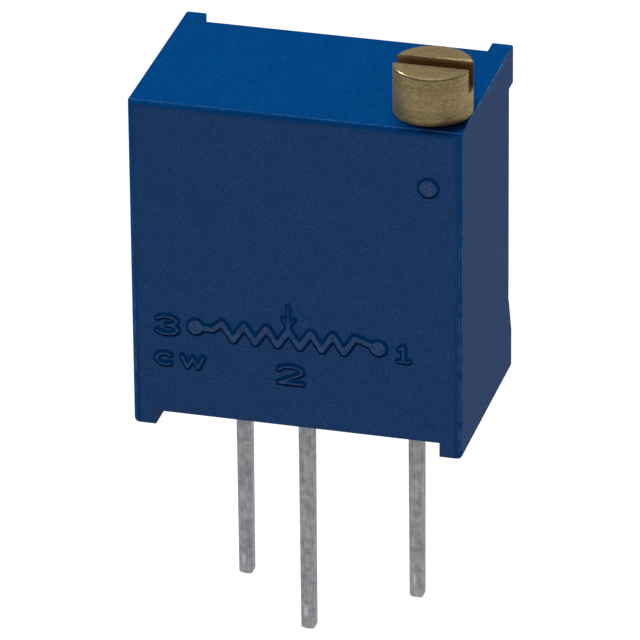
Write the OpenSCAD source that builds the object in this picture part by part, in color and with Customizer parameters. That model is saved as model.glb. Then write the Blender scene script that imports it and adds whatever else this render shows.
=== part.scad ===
// Multi-turn trimmer potentiometer, 3/8 inch square, top adjustment, three staggered pins.
// Origin: the seating plane under the feet, at the centre of the pin pattern.
// X runs across the marked front, Y runs from the front to the back, Z runs up.

/* [Body] */
// Width of the moulded body
body_w = 9.53; // [9:0.01:10.5]
// Depth of the body without its rear standoffs
body_d = 5.5; // [5.2:0.01:6.2]
// Height from the feet to the top face
body_h = 10.03; // [9.9:0.01:11]
// Distance from the front face to the centre of the pin pattern
front_inset = 2.37; // [2.25:0.01:2.42]
// Thickness of the two side walls
side_wall = 0.6; // [0.5:0.01:0.65]
// Thickness of the front wall
front_wall = 0.5; // [0.4:0.01:0.52]
// Thickness of the back wall
back_wall = 0.6; // [0.4:0.01:0.8]
// Thickness of the top wall
top_wall = 0.8; // [0.6:0.01:0.9]
// Width of the soft border along the side and top edges of the front face
border_w = 0.24; // [0.15:0.01:0.35]
// Distance that the border falls back where it ends in a crisp edge
border_sink = 0.08; // [0.04:0.01:0.12]
// Radius of the other top and rear edges
crisp_r = 0.04; // [0.03:0.01:0.12]

/* [Feet and standoffs] */
// Width of the rail feet along both sides
foot_w = 0.65; // [0.5:0.01:0.9]
// Height of the rail feet
foot_h = 0.43; // [0.3:0.01:0.45]
// Radius of the lower outer corners of the feet
foot_r = 0.12; // [0.05:0.01:0.2]
// Width of the right rear standoffs
right_standoff_w = 0.62; // [0.4:0.01:1]
// Width of the left rear standoffs where they leave the back face
left_standoff_w = 0.74; // [0.4:0.01:1]
// Amount that the left rear standoffs narrow on their inner side
standoff_draft = 0.15; // [0:0.01:0.25]
// Radius of the outer rear corner of a standoff
standoff_r = 0.1; // [0.04:0.01:0.15]
// Height of an upper rear standoff
upper_standoff_h = 1.1; // [0.6:0.01:1.8]
// Distance that an upper rear standoff stands out
upper_standoff_out = 0.52; // [0.3:0.01:0.7]
// Height of the flat end of a lower rear standoff
lower_standoff_h = 0.94; // [0.6:0.01:1.4]
// Height of the ramp above the flat end of a lower rear standoff
lower_ramp_h = 1.36; // [0.8:0.01:1.8]
// Distance that a lower rear standoff stands out
lower_standoff_out = 0.4; // [0.2:0.01:0.5]

/* [Pins] */
// Pitch of the pins across the body
pin_pitch = 2.54; // [2.5:0.01:2.6]
// Distance between the two rows of pins
row_pitch = 2.54; // [2.48:0.01:2.6]
// Length of the pins below the seating plane
pin_length = 6.6; // [3:0.01:8]
// Amount that the pin of terminal 3 is cut shorter
pin_3_trim = 0.11; // [0:0.01:0.3]
// Width of a pin at the body
pin_w = 0.44; // [0.35:0.01:0.55]
// Thickness of a pin at the body
pin_t = 0.38; // [0.3:0.01:0.42]
// Amount that a pin narrows towards its tip
pin_taper = 0.035; // [0:0.005:0.06]
// Size of the broken edge at the tip of a pin
tip_break = 0.09; // [0.03:0.01:0.12]
// Width of the clip that grips the element
clip_w = 0.9; // [0.6:0.01:1.1]
// Thickness of the front jaw of a clip
jaw_t = 0.2; // [0.15:0.01:0.24]
// Height of a clip above the lower edge of the element
clip_h = 0.9; // [0.6:0.01:1]
// Thickness of the bridge that joins the two sides of a clip
bridge_t = 0.35; // [0.25:0.01:0.4]

/* [Adjustment screw] */
// Distance from the side face to the screw axis
screw_side_inset = 1.13; // [1.12:0.01:1.3]
// Distance from the front face to the screw axis
screw_front_inset = 1.27; // [1.22:0.01:1.35]
// Diameter of the screw head
head_d = 2.23; // [1.9:0.01:2.25]
// Height of the top of the head above the body
head_rise = 1.5; // [1:0.01:1.8]
// Size of the bevel around the top of the head
head_bevel = 0.08; // [0.02:0.01:0.15]
// Width of the driver slot
slot_w = 0.53; // [0.4:0.01:0.7]
// Depth of the driver slot
slot_depth = 0.7; // [0.4:0.01:0.9]
// Angle of the driver slot from the front face
slot_turn = 0.5; // [0:0.5:45]
// Diameter of the neck that runs in the body
neck_d = 1.7; // [1.66:0.01:1.76]
// Depth of the seal groove in the neck
seal_groove = 0.3; // [0.25:0.01:0.35]
// Diameter of the lower journal
journal_d = 0.76; // [0.6:0.01:0.8]

/* [Worm drive] */
// Pitch radius of the worm
worm_r = 0.58; // [0.55:0.01:0.6]
// Height of the worm profile to each side of its pitch radius
tooth_rise = 0.2; // [0.15:0.01:0.22]
// Number of teeth on the gear
gear_teeth = 30; // [28:1:30]
// Width of the gear rim
gear_w = 1.2; // [1:0.01:1.25]
// Thickness of the gear web
web_t = 0.62; // [0.5:0.01:0.8]
// Gap between the gear teeth and the left wall
gear_side_gap = 0.25; // [0.2:0.01:0.5]
// Gap between the gear teeth and the top wall
gear_top_gap = 0.34; // [0.2:0.01:0.5]
// Least gap between the gear teeth and the lower edge of the element plate
gear_floor_gap = 0.5; // [0.45:0.01:0.6]
// Diameter of the moulded post that carries the gear
post_d = 1.2; // [1:0.01:1.4]

/* [Element] */
// Thickness of the ceramic plate
plate_t = 0.635; // [0.5:0.005:0.7]
// Height of the lower edge of the plate above the seating plane
plate_z = 1.3; // [1.2:0.01:1.35]
// Thickness of the printed films
film_t = 0.04; // [0.02:0.01:0.06]
// Distance from the pitch circle of the gear in to the middle of the resistive track
track_inset = 0.74; // [0.65:0.01:0.85]
// Width of the resistive track
track_w = 0.6; // [0.5:0.01:0.7]
// Angle of the resistive track
track_angle = 270; // [250:1:280]
// Mean radius of the collector ring
collector_r = 1.15; // [1.05:0.01:1.25]
// Width of the collector ring
collector_w = 0.5; // [0.4:0.01:0.6]
// Thickness of the wiper spring
wiper_t = 0.13; // [0.1:0.01:0.2]
// Width of one wiper finger
finger_w = 0.22; // [0.15:0.01:0.26]
// Number of fingers on each side of the wiper
finger_count = 3; // [2:1:3]

/* [Hidden] */
$fn = 64;

// Length that a cut runs past the surface it opens
through = 1;
// Running clearance on the radius of the neck, journal and post
run_clear = 0.02;
// Clearance between the worm and the gear teeth
mesh_clear = 0.04;
// Clearance around the worm in the walls
channel_clear = 0.1;
// Gap under the screw head
head_gap = 0.05;
// Gap between the wiper contacts and the films
contact_gap = 0.02;
// Gap between the plate and the side and top walls
plate_clear = 0.06;

// Planes of the body
front_y = -front_inset;
back_y = front_y + body_d;
border_r = (border_w * border_w + border_sink * border_sink) / (2 * border_sink);
cavity_x = body_w / 2 - side_wall;
cavity_front = front_y + front_wall;
cavity_back = back_y - back_wall;
cavity_top = body_h - top_wall;

// Adjustment screw
screw_x = body_w / 2 - screw_side_inset;
screw_y = front_y + screw_front_inset;
screw_top = body_h + head_rise;
neck_bore_r = neck_d / 2 + run_clear;
boss_wall = 0.28;
boss_depth = 0.83;
boss_z = cavity_top - boss_depth;
neck_tail = 0.2;
neck_z = boss_z - neck_tail;
block_rise = 1.4;
block_top = plate_z + block_rise;
block_t = 0.8;
block_z = block_top - block_t;
block_reach = 0.9;
worm_z = block_top + run_clear;
worm_lap = 0.1;
journal_bore_r = journal_d / 2 + run_clear;
seal_depth = 0.6;
seal_z = body_h - seal_depth;
seal_h = 0.36;
seal_floor_r = neck_d / 2 - seal_groove;
seal_gap = 0.01;

// Retaining clip under the bearing block
retainer_t = 0.14;
retainer_groove = 0.12;
retainer_rim = 0.17;
retainer_floor_r = journal_d / 2 - retainer_groove;
retainer_r = journal_d / 2 + retainer_rim;
retainer_top = block_z - run_clear;
journal_tail = 0.12;
journal_end = retainer_top - retainer_t - journal_tail;

// Gear: as large as the room beside the worm and between the plate's lower edge and the top wall
worm_side_x = screw_x - worm_r - mesh_clear;
gear_room_x = (worm_side_x + cavity_x - gear_side_gap - tooth_rise) / 2;
gear_room_z = (cavity_top - gear_top_gap - plate_z - gear_floor_gap) / 2 - tooth_rise;
gear_r = min(gear_room_x, gear_room_z);
gear_x = worm_side_x - gear_r;
gear_z = cavity_top - gear_top_gap - tooth_rise - gear_r;
worm_pitch = 2 * PI * gear_r / gear_teeth;
gear_front = screw_y - gear_w / 2;
gear_back = screw_y + gear_w / 2;
gear_twist = gear_w * worm_pitch / (2 * PI * worm_r) / gear_r * 180 / PI;
post_tail = 0.15;
post_end = gear_back + post_tail;
points_per_tooth = 8;
rim_t = 0.75;
hub_wall = 0.5;
hub_r = post_d / 2 + hub_wall;

// Element plate and films
plate_x = cavity_x - plate_clear;
plate_top = cavity_top - plate_clear;
plate_back = row_pitch / 2 - pin_t / 2;
plate_front = plate_back - plate_t;
film_front = plate_front - film_t;
track_r = gear_r - track_inset;
conductor_end = 160;
conductor_lap = 4;
lead_w = 0.4;
pad_rise = 0.25;
pad_top = plate_z + clip_h + pad_rise;

// Wiper
washer_w = 0.25;
washer_clear = 0.08;
finger_gap = 0.11;
finger_run = 1;
collector_run = 0.37;
finger_landing = 0.13;

// Terminals
clip_top = plate_z + clip_h;
bridge_z = plate_z - bridge_t;
pin_x = [pin_pitch, 0, -pin_pitch];
pin_y = [row_pitch / 2, -row_pitch / 2, row_pitch / 2];
pin_reach = [pin_length, pin_length, pin_length - pin_3_trim];
solder_skin = 0.02;

// Epoxy in the bottom opening
epoxy_recess = 0.1;
epoxy_z = foot_h + epoxy_recess;
epoxy_top = plate_z - epoxy_recess;

// Ribs and rails that locate the plate
rib_w = 0.5;
rib_x = pin_pitch / 2;
rail_reach = 0.3;
rail_d = 0.5;

// Rectangle with rounded lower and upper corners, centred on X and standing on Y = 0
module rounded_outline(w, h, lower_r, upper_r) {
    difference() {
        translate([-w / 2, 0]) square([w, h]);
        for (side = [-1, 1]) {
            corner_cut(side * w / 2, 0, -side, 1, lower_r);
            corner_cut(side * w / 2, h, -side, -1, upper_r);
        }
    }
}

// Sliver outside a rounded corner; sx and sy point from the corner into the outline
module corner_cut(x, y, sx, sy, r) {
    translate([x + sx * r, y + sy * r])
        scale([sx, sy])
            difference() {
                translate([-r - through, -r - through]) square([r + through, r + through]);
                circle(r);
            }
}

// Sliver in front of the soft border, from the corner at the origin along +X; +Y points to the back
module border_cut() {
    difference() {
        translate([-through, -through]) square([border_w + through, border_sink + through]);
        translate([border_w, border_r]) circle(border_r);
    }
}

// Plan of the body: a soft border at each side of the front, crisp corners at the back
module plan_outline() {
    difference() {
        translate([-body_w / 2, front_y]) square([body_w, body_d]);
        for (side = [-1, 1]) {
            translate([side * body_w / 2, front_y]) scale([-side, 1]) border_cut();
            corner_cut(side * body_w / 2, back_y, -side, -1, crisp_r);
        }
    }
}

// Box from its lowest corner to its highest
module block(low, high) {
    translate(low) cube(high - low);
}

// Outline in X and Z, pushed from one Y plane to another
module push_y(from, to) {
    translate([0, to, 0]) rotate([90, 0, 0]) linear_extrude(to - from) children();
}

// Outline in Y and Z, pushed across the part and centred on X
module push_x(w) {
    translate([-w / 2, 0, 0]) rotate([90, 0, 90]) linear_extrude(w) children();
}

// Round bar or hole along Z on the screw axis
module on_screw(r, from, to) {
    translate([screw_x, screw_y, from]) cylinder(r = r, h = to - from);
}

// Round bar or hole along Y on the gear axis
module on_gear(r, from, to) {
    translate([gear_x, to, gear_z]) rotate([90, 0, 0]) cylinder(r = r, h = to - from);
}

// Outer form of the moulding, before the cavity
module body_form() {
    intersection() {
        linear_extrude(body_h) plan_outline();
        push_y(front_y, back_y) rounded_outline(body_w, body_h, foot_r, crisp_r);
        push_x(body_w) difference() {
            translate([front_y, 0]) square([body_d, body_h]);
            translate([front_y, body_h]) rotate(-90) border_cut();
            corner_cut(back_y, body_h, -1, -1, crisp_r);
        }
    }
}

// Rear standoffs on the right, flush with the top and side faces; their inner sides slant by the draft
module standoffs(w, draft) {
    intersection() {
        union() {
            difference() {
                push_x_right(w, [[back_y - back_wall / 2, body_h],
                                 [back_y + upper_standoff_out, body_h],
                                 [back_y + upper_standoff_out, body_h - upper_standoff_h],
                                 [back_y - back_wall / 2, body_h - upper_standoff_h]]);
                standoff_cut(w, draft, upper_standoff_out);
            }
            difference() {
                push_x_right(w, [[back_y - back_wall / 2, 0],
                                 [back_y + lower_standoff_out, 0],
                                 [back_y + lower_standoff_out, lower_standoff_h],
                                 [back_y, lower_standoff_h + lower_ramp_h],
                                 [back_y - back_wall / 2, lower_standoff_h + lower_ramp_h]]);
                standoff_cut(w, draft, lower_standoff_out);
            }
        }
        push_y(front_y, back_y + upper_standoff_out + lower_standoff_out)
            rounded_outline(body_w, body_h, foot_r, crisp_r);
    }
}

// Side outline of a standoff, pushed over its width and flush with the right side face
module push_x_right(w, points) {
    translate([body_w / 2 - w / 2, 0, 0]) push_x(w) polygon(points);
}

// Wedge that slants the inner side of a standoff, and sliver that rounds its outer rear corner
module standoff_cut(w, draft, reach) {
    root_x = body_w / 2 - w;
    translate([0, 0, -through]) linear_extrude(body_h + 2 * through) {
        if (draft > 0)
            polygon([[root_x - through, back_y], [root_x, back_y],
                     [root_x + draft, back_y + reach],
                     [root_x + draft, back_y + reach + through],
                     [root_x - through, back_y + reach + through]]);
        corner_cut(body_w / 2, back_y + reach, -1, -1, standoff_r);
    }
}

// Cavity, open at the bottom between the feet
module cavity() {
    block([-cavity_x, cavity_front, foot_h - through], [cavity_x, cavity_back, cavity_top]);
    block([-body_w / 2 + foot_w, front_y - through, -through],
          [body_w / 2 - foot_w, back_y + through, foot_h]);
}

// Moulded one-piece housing
module housing() {
    color([0.02, 0.24, 0.47]) difference() {
        union() {
            difference() {
                body_form();
                difference() {
                    cavity();
                    intersection() {
                        feet_block();
                        body_form();
                    }
                }
            }
            standoffs(right_standoff_w, 0);
            mirror([1, 0, 0]) standoffs(left_standoff_w, standoff_draft);
            intersection() {
                body_form();
                union() {
                    on_screw(neck_bore_r + boss_wall, boss_z, body_h);
                    block([screw_x - block_reach, front_y, block_z],
                          [body_w / 2, screw_y + block_reach, block_top]);
                    on_gear(post_d / 2, front_y + front_wall / 2, post_end);
                    on_gear(hub_r, front_y + front_wall / 2, gear_front - run_clear);
                    plate_ribs();
                }
            }
        }
        on_screw(neck_bore_r, boss_z - through, body_h + through);
        on_screw(worm_r + tooth_rise + channel_clear, block_top, boss_z);
        on_screw(journal_bore_r, block_z - through, block_top + through);
        on_screw(retainer_r + channel_clear / 2, plate_z, block_z);
    }
}

// Rail feet along both sides
module feet_block() {
    for (side = [-1, 1])
        translate([side * (body_w / 2 - foot_w / 2), (front_y + back_y) / 2, foot_h / 2])
            cube([foot_w, body_d, foot_h], center = true);
}

// Ribs behind the plate, and rails in front of its side edges
module plate_ribs() {
    for (side = [-1, 1]) {
        block([side * rib_x - rib_w / 2, plate_back, plate_z],
              [side * rib_x + rib_w / 2, back_y - back_wall / 2, body_h - top_wall / 2]);
        block([side * 3 * rib_x - rib_w / 2, plate_back, plate_z],
              [side * 3 * rib_x + rib_w / 2, back_y - back_wall / 2, body_h - top_wall / 2]);
        translate([side * (body_w / 2 - (side_wall + rail_reach) / 2), 0, 0])
            block([-(side_wall + rail_reach) / 2, film_front - rail_d, plate_z],
                  [(side_wall + rail_reach) / 2, film_front - run_clear, body_h - top_wall / 2]);
    }
}

// Slotted brass screw with a neck, a worm and a lower journal
module adjustment_screw() {
    color([0.66, 0.57, 0.36]) difference() {
        union() {
            on_screw(head_d / 2, body_h + head_gap, screw_top - head_bevel);
            translate([screw_x, screw_y, screw_top - head_bevel])
                cylinder(r1 = head_d / 2, r2 = head_d / 2 - head_bevel, h = head_bevel);
            on_screw(neck_d / 2, neck_z, body_h + head_gap);
            worm();
            on_screw(journal_d / 2, journal_end, worm_z + worm_lap);
        }
        translate([screw_x, screw_y, screw_top - slot_depth]) rotate(slot_turn)
            translate([-head_d, -slot_w / 2, 0]) cube([2 * head_d, slot_w, slot_depth + through]);
        ring_cut(seal_floor_r, neck_d / 2, seal_z - seal_h / 2, seal_z + seal_h / 2);
        ring_cut(retainer_floor_r, journal_d / 2, retainer_top - retainer_t - run_clear, retainer_top);
    }
}

// Groove around the screw, from a floor radius out past the surface
module ring_cut(floor_r, surface_r, from, to) {
    difference() {
        on_screw(surface_r + through, from, to);
        on_screw(floor_r, from - through, to + through);
    }
}

// Worm: an off-centre circle turned along the axis, with its hollow side to the gear at the gear's height
module worm() {
    length = neck_z - worm_z + worm_lap;
    turns = length / worm_pitch;
    translate([screw_x, screw_y, worm_z])
        rotate(-360 * (gear_z - worm_z) / worm_pitch)
            linear_extrude(length, twist = -360 * turns, slices = ceil(turns * 14), $fn = 20)
                translate([tooth_rise, 0]) circle(worm_r);
}

// Rubber ring in the neck groove
module screw_seal() {
    ring_r = (neck_bore_r + seal_floor_r) / 2;
    section_r = (neck_bore_r - seal_floor_r) / 2 - seal_gap;
    color([0.06, 0.06, 0.06]) translate([screw_x, screw_y, seal_z])
        rotate_extrude() translate([ring_r, 0]) circle(section_r, $fn = 24);
}

// Open spring washer in the journal groove
module retaining_clip() {
    mouth = 2 * (retainer_floor_r + run_clear);
    color([0.75, 0.76, 0.78])
        translate([screw_x, screw_y, retainer_top - retainer_t])
            linear_extrude(retainer_t - run_clear)
                difference() {
                    circle(retainer_r);
                    circle(retainer_floor_r + run_clear);
                    translate([-retainer_r - through, -mouth / 2]) square([retainer_r + through, mouth]);
                }
}

// Moulded worm gear with a thinner web and a bored hub
module worm_gear() {
    color([0.93, 0.92, 0.88]) difference() {
        translate([gear_x, screw_y, gear_z]) rotate([-90, 0, 0])
            rotate(-gear_twist / 2)
                linear_extrude(gear_w, center = true, twist = -gear_twist, slices = 4)
                    tooth_outline();
        difference() {
            on_gear(gear_r - tooth_rise - rim_t, gear_front - through, gear_back - web_t);
            on_gear(hub_r, gear_front - 2 * through, gear_back);
        }
        on_gear(post_d / 2 + run_clear, gear_front - through, gear_back + through);
    }
}

// Gear outline: a circle whose radius rises and falls once a tooth
module tooth_outline() {
    count = gear_teeth * points_per_tooth;
    polygon([for (i = [0:count - 1])
        let (a = 360 * i / count, r = gear_r + tooth_rise * cos(a * gear_teeth))
            [r * cos(a), r * sin(a)]]);
}

// Wiper spring: a washer on the back of the gear, with fingers up to the track and down to the collector
module wiper() {
    finger_pitch = finger_w + finger_gap;
    arm_w = finger_count * finger_pitch - finger_gap;
    color([0.8, 0.68, 0.4]) translate([gear_x, 0, gear_z]) {
        difference() {
            push_y(gear_back, gear_back + wiper_t) union() {
                circle(hub_r + washer_w);
                translate([-arm_w / 2, 0]) square([arm_w, track_r - finger_run + finger_w]);
            }
            translate([0, gear_back - through, 0]) rotate([-90, 0, 0])
                cylinder(r = post_d / 2 + washer_clear, h = wiper_t + 2 * through);
        }
        for (i = [0:finger_count - 1])
            translate([(i - (finger_count - 1) / 2) * finger_pitch, 0, 0]) {
                finger(track_r, finger_run);
                mirror([0, 0, 1]) finger(collector_r, collector_run);
            }
    }
}

// One finger: leaves the spring, slopes back and ends in a flat contact at contact_r
module finger(contact_r, run) {
    contact_y = film_front - contact_gap;
    root = contact_r - run;
    half = wiper_t / 2;
    push_x(finger_w) polygon([
        [gear_back, root], [gear_back + wiper_t, root + 3 * half],
        [contact_y - half, contact_r + finger_landing],
        [contact_y, contact_r + finger_landing], [contact_y, contact_r - finger_landing],
        [contact_y - half, contact_r - finger_landing],
        [gear_back + wiper_t, root - half], [gear_back, root - half]]);
}

// Ceramic plate
module element_plate() {
    color([0.92, 0.91, 0.87])
        block([-plate_x, plate_front, plate_z], [plate_x, plate_back, plate_top]);
}

// Film outline about the gear axis, printed on the front of the plate
module film() {
    translate([gear_x, 0, gear_z]) push_y(film_front, plate_front) children();
}

// Part of a ring between two angles from the top, towards +X
module ring_sector(mean_r, w, from, to) {
    reach = 2 * (mean_r + w);
    steps = 8;
    intersection() {
        difference() {
            circle(mean_r + w / 2);
            circle(mean_r - w / 2);
        }
        polygon(concat([[0, 0]], [for (i = [0:steps])
            let (a = from + (to - from) * i / steps) [reach * sin(a), reach * cos(a)]]));
    }
}

// Resistive ink
module resistive_track() {
    color([0.1, 0.1, 0.1]) film() ring_sector(track_r, track_w, -track_angle / 2, track_angle / 2);
}

// Conductor from one end of the track to the pad of its terminal
module end_conductor(side) {
    pad_x = side * (side * pin_pitch - gear_x);
    outer = track_r + track_w / 2;
    inner_a = conductor_end;
    outer_a = track_angle / 2 + conductor_lap;
    color([0.78, 0.77, 0.74]) film() scale([side, 1]) union() {
        ring_sector(track_r, track_w, track_angle / 2, conductor_end);
        polygon([
            [track_r * sin(inner_a), track_r * cos(inner_a)],
            [outer * sin(inner_a), outer * cos(inner_a)],
            [pad_x - clip_w / 2, pad_top - gear_z - lead_w / 2],
            [pad_x - clip_w / 2, plate_z - gear_z],
            [pad_x + clip_w / 2, plate_z - gear_z],
            [pad_x + clip_w / 2, pad_top - gear_z],
            [outer * sin(outer_a), outer * cos(outer_a)],
            [track_r * sin(outer_a), track_r * cos(outer_a)]]);
    }
}

module end_conductor_1() { end_conductor(1); }
module end_conductor_3() { end_conductor(-1); }

// Collector ring with its lead to the middle terminal
module collector_conductor() {
    color([0.78, 0.77, 0.74]) film() union() {
        ring_sector(collector_r, collector_w, -180, 180);
        translate([-lead_w / 2, plate_z - gear_z])
            square([lead_w, gear_z - plate_z - collector_r + collector_w / 4]);
        translate([-gear_x - clip_w / 2, plate_z - gear_z]) square([clip_w, pad_top - plate_z]);
    }
}

// Square pin, drawn down to a narrower tip with broken edges
module pin_blank(x, y, reach) {
    translate([x, y, 0]) intersection() {
        push_y(-pin_w, pin_w) pin_outline(pin_w / 2, reach);
        push_x(2 * pin_w) pin_outline(pin_t / 2, reach);
    }
}

module pin_outline(half, reach) {
    tip = half - pin_taper / 2;
    polygon([
        [-half, bridge_z], [-half, foot_h], [-tip, tip_break - reach],
        [-tip + tip_break, -reach], [tip - tip_break, -reach],
        [tip, tip_break - reach], [half, foot_h], [half, bridge_z]]);
}

// Terminal: a clip on the lower edge of the plate, with its pin below
module terminal(i) {
    x = pin_x[i];
    jaw_front = film_front - jaw_t;
    leg_back = plate_back + pin_t;
    color([0.62, 0.62, 0.63]) union() {
        block([x - clip_w / 2, jaw_front, bridge_z], [x + clip_w / 2, leg_back, plate_z]);
        block([x - clip_w / 2, jaw_front, bridge_z], [x + clip_w / 2, film_front, clip_top]);
        block([x - clip_w / 2, plate_back, bridge_z], [x + clip_w / 2, leg_back, clip_top]);
        if (pin_y[i] < 0)
            block([x - pin_w / 2, pin_y[i] - pin_t / 2, bridge_z], [x + pin_w / 2, film_front, plate_z]);
        pin_blank(x, pin_y[i], pin_reach[i]);
    }
}

module terminal_pin_1() { terminal(0); }
module terminal_pin_2() { terminal(1); }
module terminal_pin_3() { terminal(2); }

// Solder fillet between the top of a jaw and its pad
module solder_joint(i) {
    color([0.7, 0.71, 0.72]) translate([pin_x[i], 0, 0]) push_x(clip_w)
        translate([film_front, clip_top]) difference() {
            translate([-jaw_t, 0]) square([jaw_t, jaw_t]);
            translate([-jaw_t, jaw_t]) circle(jaw_t - solder_skin);
        }
}

module solder_joint_1() { solder_joint(0); }
module solder_joint_2() { solder_joint(1); }
module solder_joint_3() { solder_joint(2); }

// Epoxy that closes the bottom around the terminals
module epoxy_seal() {
    color([0.12, 0.3, 0.5]) difference() {
        block([-cavity_x, cavity_front, epoxy_z], [cavity_x, cavity_back, epoxy_top]);
        for (i = [0:2]) terminal(i);
    }
}

housing();
adjustment_screw();
screw_seal();
retaining_clip();
worm_gear();
wiper();
element_plate();
resistive_track();
end_conductor_1();
end_conductor_3();
collector_conductor();
terminal_pin_1();
terminal_pin_2();
terminal_pin_3();
solder_joint_1();
solder_joint_2();
solder_joint_3();
epoxy_seal();
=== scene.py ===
import math
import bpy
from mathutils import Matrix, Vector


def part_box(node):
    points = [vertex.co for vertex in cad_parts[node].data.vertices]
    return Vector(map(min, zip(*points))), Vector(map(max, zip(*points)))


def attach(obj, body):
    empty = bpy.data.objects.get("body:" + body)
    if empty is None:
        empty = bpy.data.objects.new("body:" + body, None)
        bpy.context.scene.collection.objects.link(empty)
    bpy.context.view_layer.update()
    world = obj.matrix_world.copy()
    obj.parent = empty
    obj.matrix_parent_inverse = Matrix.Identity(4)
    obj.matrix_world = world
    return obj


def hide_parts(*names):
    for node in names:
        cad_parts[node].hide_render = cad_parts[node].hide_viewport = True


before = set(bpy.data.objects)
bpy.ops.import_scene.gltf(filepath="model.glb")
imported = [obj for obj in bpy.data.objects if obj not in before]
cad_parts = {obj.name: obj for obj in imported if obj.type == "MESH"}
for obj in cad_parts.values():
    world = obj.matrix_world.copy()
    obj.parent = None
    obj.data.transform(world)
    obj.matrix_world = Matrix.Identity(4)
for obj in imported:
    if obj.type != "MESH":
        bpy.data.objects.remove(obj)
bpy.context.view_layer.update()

from types import SimpleNamespace

import bmesh
import bpy
import numpy as np
from mathutils import Matrix, Vector

MM = 0.001

# Housing
# One blue glass-filled moulding with rail feet and rear standoffs, satin from the mould.
# Its upright walls carry a faint pale bloom. Its crisp edges get a painted highlight, its slanted
# borders painted light, and the top by the screw head a painted shadow.
HOUSING_LOW, HOUSING_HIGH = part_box("housing")
BODY_HALF_WIDTH, BODY_FRONT, BODY_TOP = HOUSING_HIGH[0], HOUSING_LOW[1], HOUSING_HIGH[2]
SCREW_LOW, SCREW_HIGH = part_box("adjustment_screw")
SCREW_X = (SCREW_LOW[0] + SCREW_HIGH[0]) / 2 / MM
SCREW_Y = (SCREW_LOW[1] + SCREW_HIGH[1]) / 2 / MM
HOUSING_BLUE = (0.0012, 0.057, 0.215, 1)
# the second blue is painted on crisp edges as a highlight
EDGE_HIGHLIGHT_BLUE = (0.035, 0.13, 0.34, 1)
PALE_SPECK = (0.1, 0.28, 0.55, 1)
HOUSING_ROUGHNESS, BLOOM_ROUGHNESS = 0.6, 0.5
HOUSING_GRAIN, EDGE_GRAIN = 0.4, 0.3
FRONT_BLOOM, SIDE_BLOOM, EDGE_BLOOM = 0.75, 0.45, 0.5
# the second of these is painted light on slanted borders
BLOOM_LEAN, BORDER_PAINTED_LIGHT = 0.28, 0.45
SPECK_AMOUNT, SPECK_GAIN = 0.3, 4.0
SPECK_RADII, SPECK_PICK = (0.05, 0.14), 0.7
NOISE_MIDDLE, NOISE_BAND = 0.5, (0.3, 0.7)
SHIFT_GAIN, ROUGHNESS_SHIFT = 4.0, 0.2
GRAIN_DEPTH = 0.008 * MM
PATCH_LEVELS, HIGHLIGHT_RUN_BAND = (0.4, 1.6), (0.4, 0.6)
FACING, SLANTING, TILT_GAIN = (0.93, 0.99), (0.88, 0.98), 2.0
# Painted shadow round the foot of the screw head: its direction, reach, aim, fade and depth.
SHADOW_TOWARDS = (0.57, -0.82, 0)
HEAD_SHADOW_REACH, HEAD_SHADOW_AIM, HEAD_SHADOW_FADE = (1.2, 1.75), (0.2, 0.9), (-0.16, -0.04)
HEAD_SHADOW_DEPTH, SIDE_MARGIN = 0.85, 0.02
HOUSING_BEVEL, HIGHLIGHT_STRIP_WIDTH = 0.02 * MM, 0.02 * MM
BEVEL_SEGMENTS, FLAT_WEIGHT = 3, 100
MERGE_DISTANCE = 1e-7
JOINED_ANGLE, BROKEN_ANGLE, SMOOTH_ANGLE = (math.radians(angle) for angle in (0.5, 33, 40))


def add(tree, kind, inputs=None, **settings):
    """Adds a node, with its settings and its sockets set to values or linked to other sockets."""
    made = tree.nodes.new(kind)
    for key, value in settings.items():
        setattr(made, key, value)
    for key, value in (inputs or {}).items():
        if isinstance(value, bpy.types.NodeSocket):
            tree.links.new(value, made.inputs[key])
        else:
            made.inputs[key].default_value = value
    return made


def wire(tree, node, sockets):
    """Links sockets to a node's named inputs."""
    for label, socket in sockets.items():
        tree.links.new(socket, node.inputs[label])


def math_node(tree, operation, a, b=0.0, c=0.0, clamp=False):
    """One Math node; returns its output."""
    made = add(tree, "ShaderNodeMath", {0: a, 1: b, 2: c}, operation=operation, use_clamp=clamp)
    return made.outputs[0]


def product(tree, first, *others):
    """Several values multiplied."""
    for other in others:
        first = math_node(tree, "MULTIPLY", first, other)
    return first


def remaining(tree, share):
    """What a share leaves of 1."""
    return math_node(tree, "SUBTRACT", 1.0, share)


def vector_node(tree, operation, a, b=(0, 0, 0)):
    """One Vector Math node; returns its vector, or its value where it measures one."""
    made = add(tree, "ShaderNodeVectorMath", {0: a, 1: b}, operation=operation)
    return made.outputs["Value" if operation in ("LENGTH", "DOT_PRODUCT") else "Vector"]


def scaled(tree, colour, factor):
    """A colour or a place times a factor."""
    inputs = {0: colour, "Scale": factor}
    return add(tree, "ShaderNodeVectorMath", inputs, operation="SCALE").outputs[0]


def mixed(tree, share, first, second):
    """The first colour turned into the second by a share."""
    return add(tree, "ShaderNodeMixRGB", {0: share, 1: first, 2: second}).outputs[0]


def ranged(tree, value, span, to=(0.0, 1.0), **settings):
    """A value held within a span and carried from there to another span."""
    inputs = {"Value": value, "From Min": span[0], "From Max": span[1],
              "To Min": to[0], "To Max": to[1]}
    return add(tree, "ShaderNodeMapRange", inputs, **settings).outputs[0]


def noise(tree, place, scale, detail, roughness=0.5):
    """Soft noise over a place, from 0 to 1."""
    inputs = {"Vector": place, "Scale": scale, "Detail": detail, "Roughness": roughness}
    return add(tree, "ShaderNodeTexNoise", inputs).outputs["Fac"]


def bumped(tree, height, strength, depth, under=None):
    """The normal of a surface raised by a height, over another normal where one is given."""
    made = add(tree, "ShaderNodeBump", {"Height": height, "Strength": strength, "Distance": depth})
    if under is not None:
        tree.links.new(under, made.inputs["Normal"])
    return made.outputs[0]


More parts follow.
